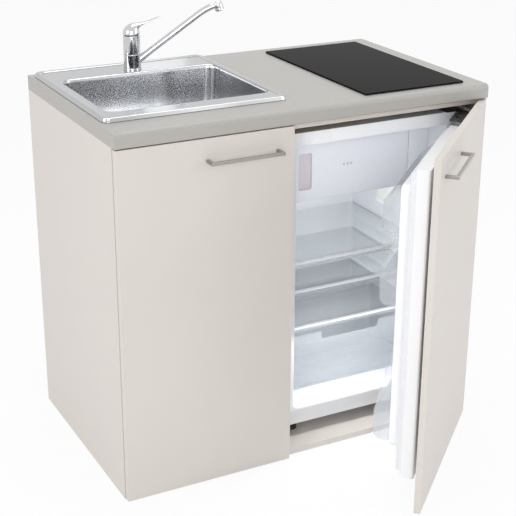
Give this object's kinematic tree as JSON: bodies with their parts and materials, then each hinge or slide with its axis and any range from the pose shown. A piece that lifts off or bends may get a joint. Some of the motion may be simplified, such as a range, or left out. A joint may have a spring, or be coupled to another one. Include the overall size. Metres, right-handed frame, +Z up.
{
  "type": "kitchenette unit with sink and hob",
  "caption": "Compact kitchen base unit with an inset steel sink and lever tap, a glass hob, a cupboard, and a built-in fridge with a freezer box behind a linked right-hand door.",
  "frame": {"origin": "on the floor, under the middle of the worktop's width and depth", "axes": "+X to the right seen from the front, +Y towards the wall behind, +Z up"},
  "size_m": [1.0027, 0.9638, 1.1084],
  "materials": {
    "white_laminate": "warm white laminated chipboard, satin",
    "bare_board": "raw beech dowel",
    "worktop_laminate": "grey stone-look laminate, satin",
    "hardboard": "thin white-faced hardboard",
    "brushed_nickel": "brushed",
    "zinc_steel": "zinc plated",
    "sink_steel": "brushed stainless",
    "chrome": "polished chrome",
    "brass_fittings": "machined brass",
    "black_glass": "polished black glass ceramic",
    "hob_steel": "galvanised sheet",
    "insulation": "pressed mineral insulation",
    "heater_ribbon": "oxidised heater ribbon",
    "circuit_board": "lacquered board",
    "fridge_white": "white enamelled sheet with foam core",
    "liner_white": "moulded white plastic",
    "clear_glass": "clear tempered glass",
    "clear_plastic": "clear moulded plastic",
    "grey_gasket": "soft magnetic seal",
    "dark_plastic": "dark moulded plastic",
    "black_seal": "foam seal",
    "pipe_plastic": "white polypropylene",
    "dark_metal": "black painted"
  },
  "bodies": {
    "cabinet": {"left_side_panel": "white_laminate", "right_side_panel": "white_laminate", "partition": "white_laminate", "bottom_board": "white_laminate", "top_rails": "white_laminate", "panel_dowels": "bare_board", "worktop": "worktop_laminate", "back_panel": "hardboard", "worktop_screws": "zinc_steel", "left_hinge_arms": "zinc_steel", "right_hinge_arms": "zinc_steel", "sink_clips": "zinc_steel", "hob_clamps": "zinc_steel", "sink_bowl": "sink_steel", "waste_flange": "sink_steel", "tap_body": "chrome", "fridge_feet": "dark_plastic", "tap_cartridge": "liner_white", "fridge_liner": "liner_white", "freezer_box": "liner_white", "shelf_trims": "liner_white", "thermostat_housing": "liner_white", "tap_fixings": "brass_fittings", "sink_seal": "black_seal", "waste_body": "pipe_plastic", "overflow_pipe": "pipe_plastic", "drain_trap": "pipe_plastic", "hob_glass": "black_glass", "hob_casing": "hob_steel", "hob_heaters": "insulation", "hob_coils": "heater_ribbon", "hob_board": "circuit_board", "fridge_casing": "fridge_white", "glass_shelves": "clear_glass", "fridge_hinges": "dark_metal", "compressor": "dark_metal", "condenser": "dark_metal"},
    "left_door": {"left_door": "white_laminate", "left_handle": "brushed_nickel", "left_handle_screws": "zinc_steel", "left_hinge_cups": "zinc_steel"},
    "right_door": {"right_door": "white_laminate", "right_handle": "brushed_nickel", "right_handle_screws": "zinc_steel", "right_hinge_cups": "zinc_steel", "door_guide_plate": "dark_plastic"},
    "fridge_door": {"fridge_door_slab": "fridge_white", "fridge_door_liner": "liner_white", "door_gasket": "grey_gasket", "door_bins": "clear_plastic", "door_guide_pin": "dark_plastic"},
    "freezer_flap": {"freezer_flap": "liner_white"},
    "crisper": {"crisper_drawer": "clear_plastic"},
    "thermostat_knob": {"thermostat_knob": "liner_white"},
    "strainer": {"basket_strainer": "sink_steel"},
    "spout": {"tap_spout": "chrome", "tap_aerator": "dark_plastic"},
    "tap_turn": {"tap_turret": "dark_plastic"},
    "tap_lift": {"tap_handle": "chrome"}
  },
  "joints": [
    {"name": "left_door_hinge", "type": "hinge", "parent": "cabinet", "child": "left_door", "pos_m": [-0.494, -0.288, 0.45], "axis": [0, 0, -1], "range_deg": [0, 95]},
    {"name": "right_door_hinge", "type": "hinge", "parent": "cabinet", "child": "right_door", "pos_m": [0.494, -0.288, 0.45], "axis": [0, 0, 1], "range_deg": [-43, 47]},
    {"name": "fridge_door_hinge", "type": "hinge", "parent": "cabinet", "child": "fridge_door", "pos_m": [0.464, -0.262, 0.45], "axis": [0, 0, 1], "range_deg": [-43, 47]},
    {"name": "freezer_flap_hinge", "type": "hinge", "parent": "cabinet", "child": "freezer_flap", "pos_m": [0.366, -0.145, 0.724], "axis": [0, 0, 1], "range_deg": [0, 45]},
    {"name": "crisper_slide", "type": "slide", "parent": "cabinet", "child": "crisper", "axis": [0, -1, 0], "range_m": [0, 0.07]},
    {"name": "thermostat_turn", "type": "hinge", "parent": "cabinet", "child": "thermostat_knob", "pos_m": [0.398, -0.066, 0.575], "axis": [1, 0, 0], "range_deg": [-130, 130]},
    {"name": "strainer_lift", "type": "slide", "parent": "cabinet", "child": "strainer", "axis": [0, 0, 1], "range_m": [0, 0.12]},
    {"name": "spout_swivel", "type": "hinge", "parent": "cabinet", "child": "spout", "pos_m": [-0.2465, 0.216, 0.955], "axis": [0, 0, 1], "range_deg": [-140, 30]},
    {"name": "lever_turn", "type": "hinge", "parent": "cabinet", "child": "tap_turn", "pos_m": [-0.2465, 0.216, 1.03], "axis": [0, 0, 1], "range_deg": [-50, 50]},
    {"name": "lever_lift", "type": "hinge", "parent": "tap_turn", "child": "tap_lift", "pos_m": [-0.25974, 0.22056, 1.0345], "axis": [-0.3256, -0.9455, 0], "range_deg": [0, 18]}
  ],
  "couplings": [
    {"joint": "fridge_door_hinge", "follows": "right_door_hinge", "ratio": 1}
  ]
}
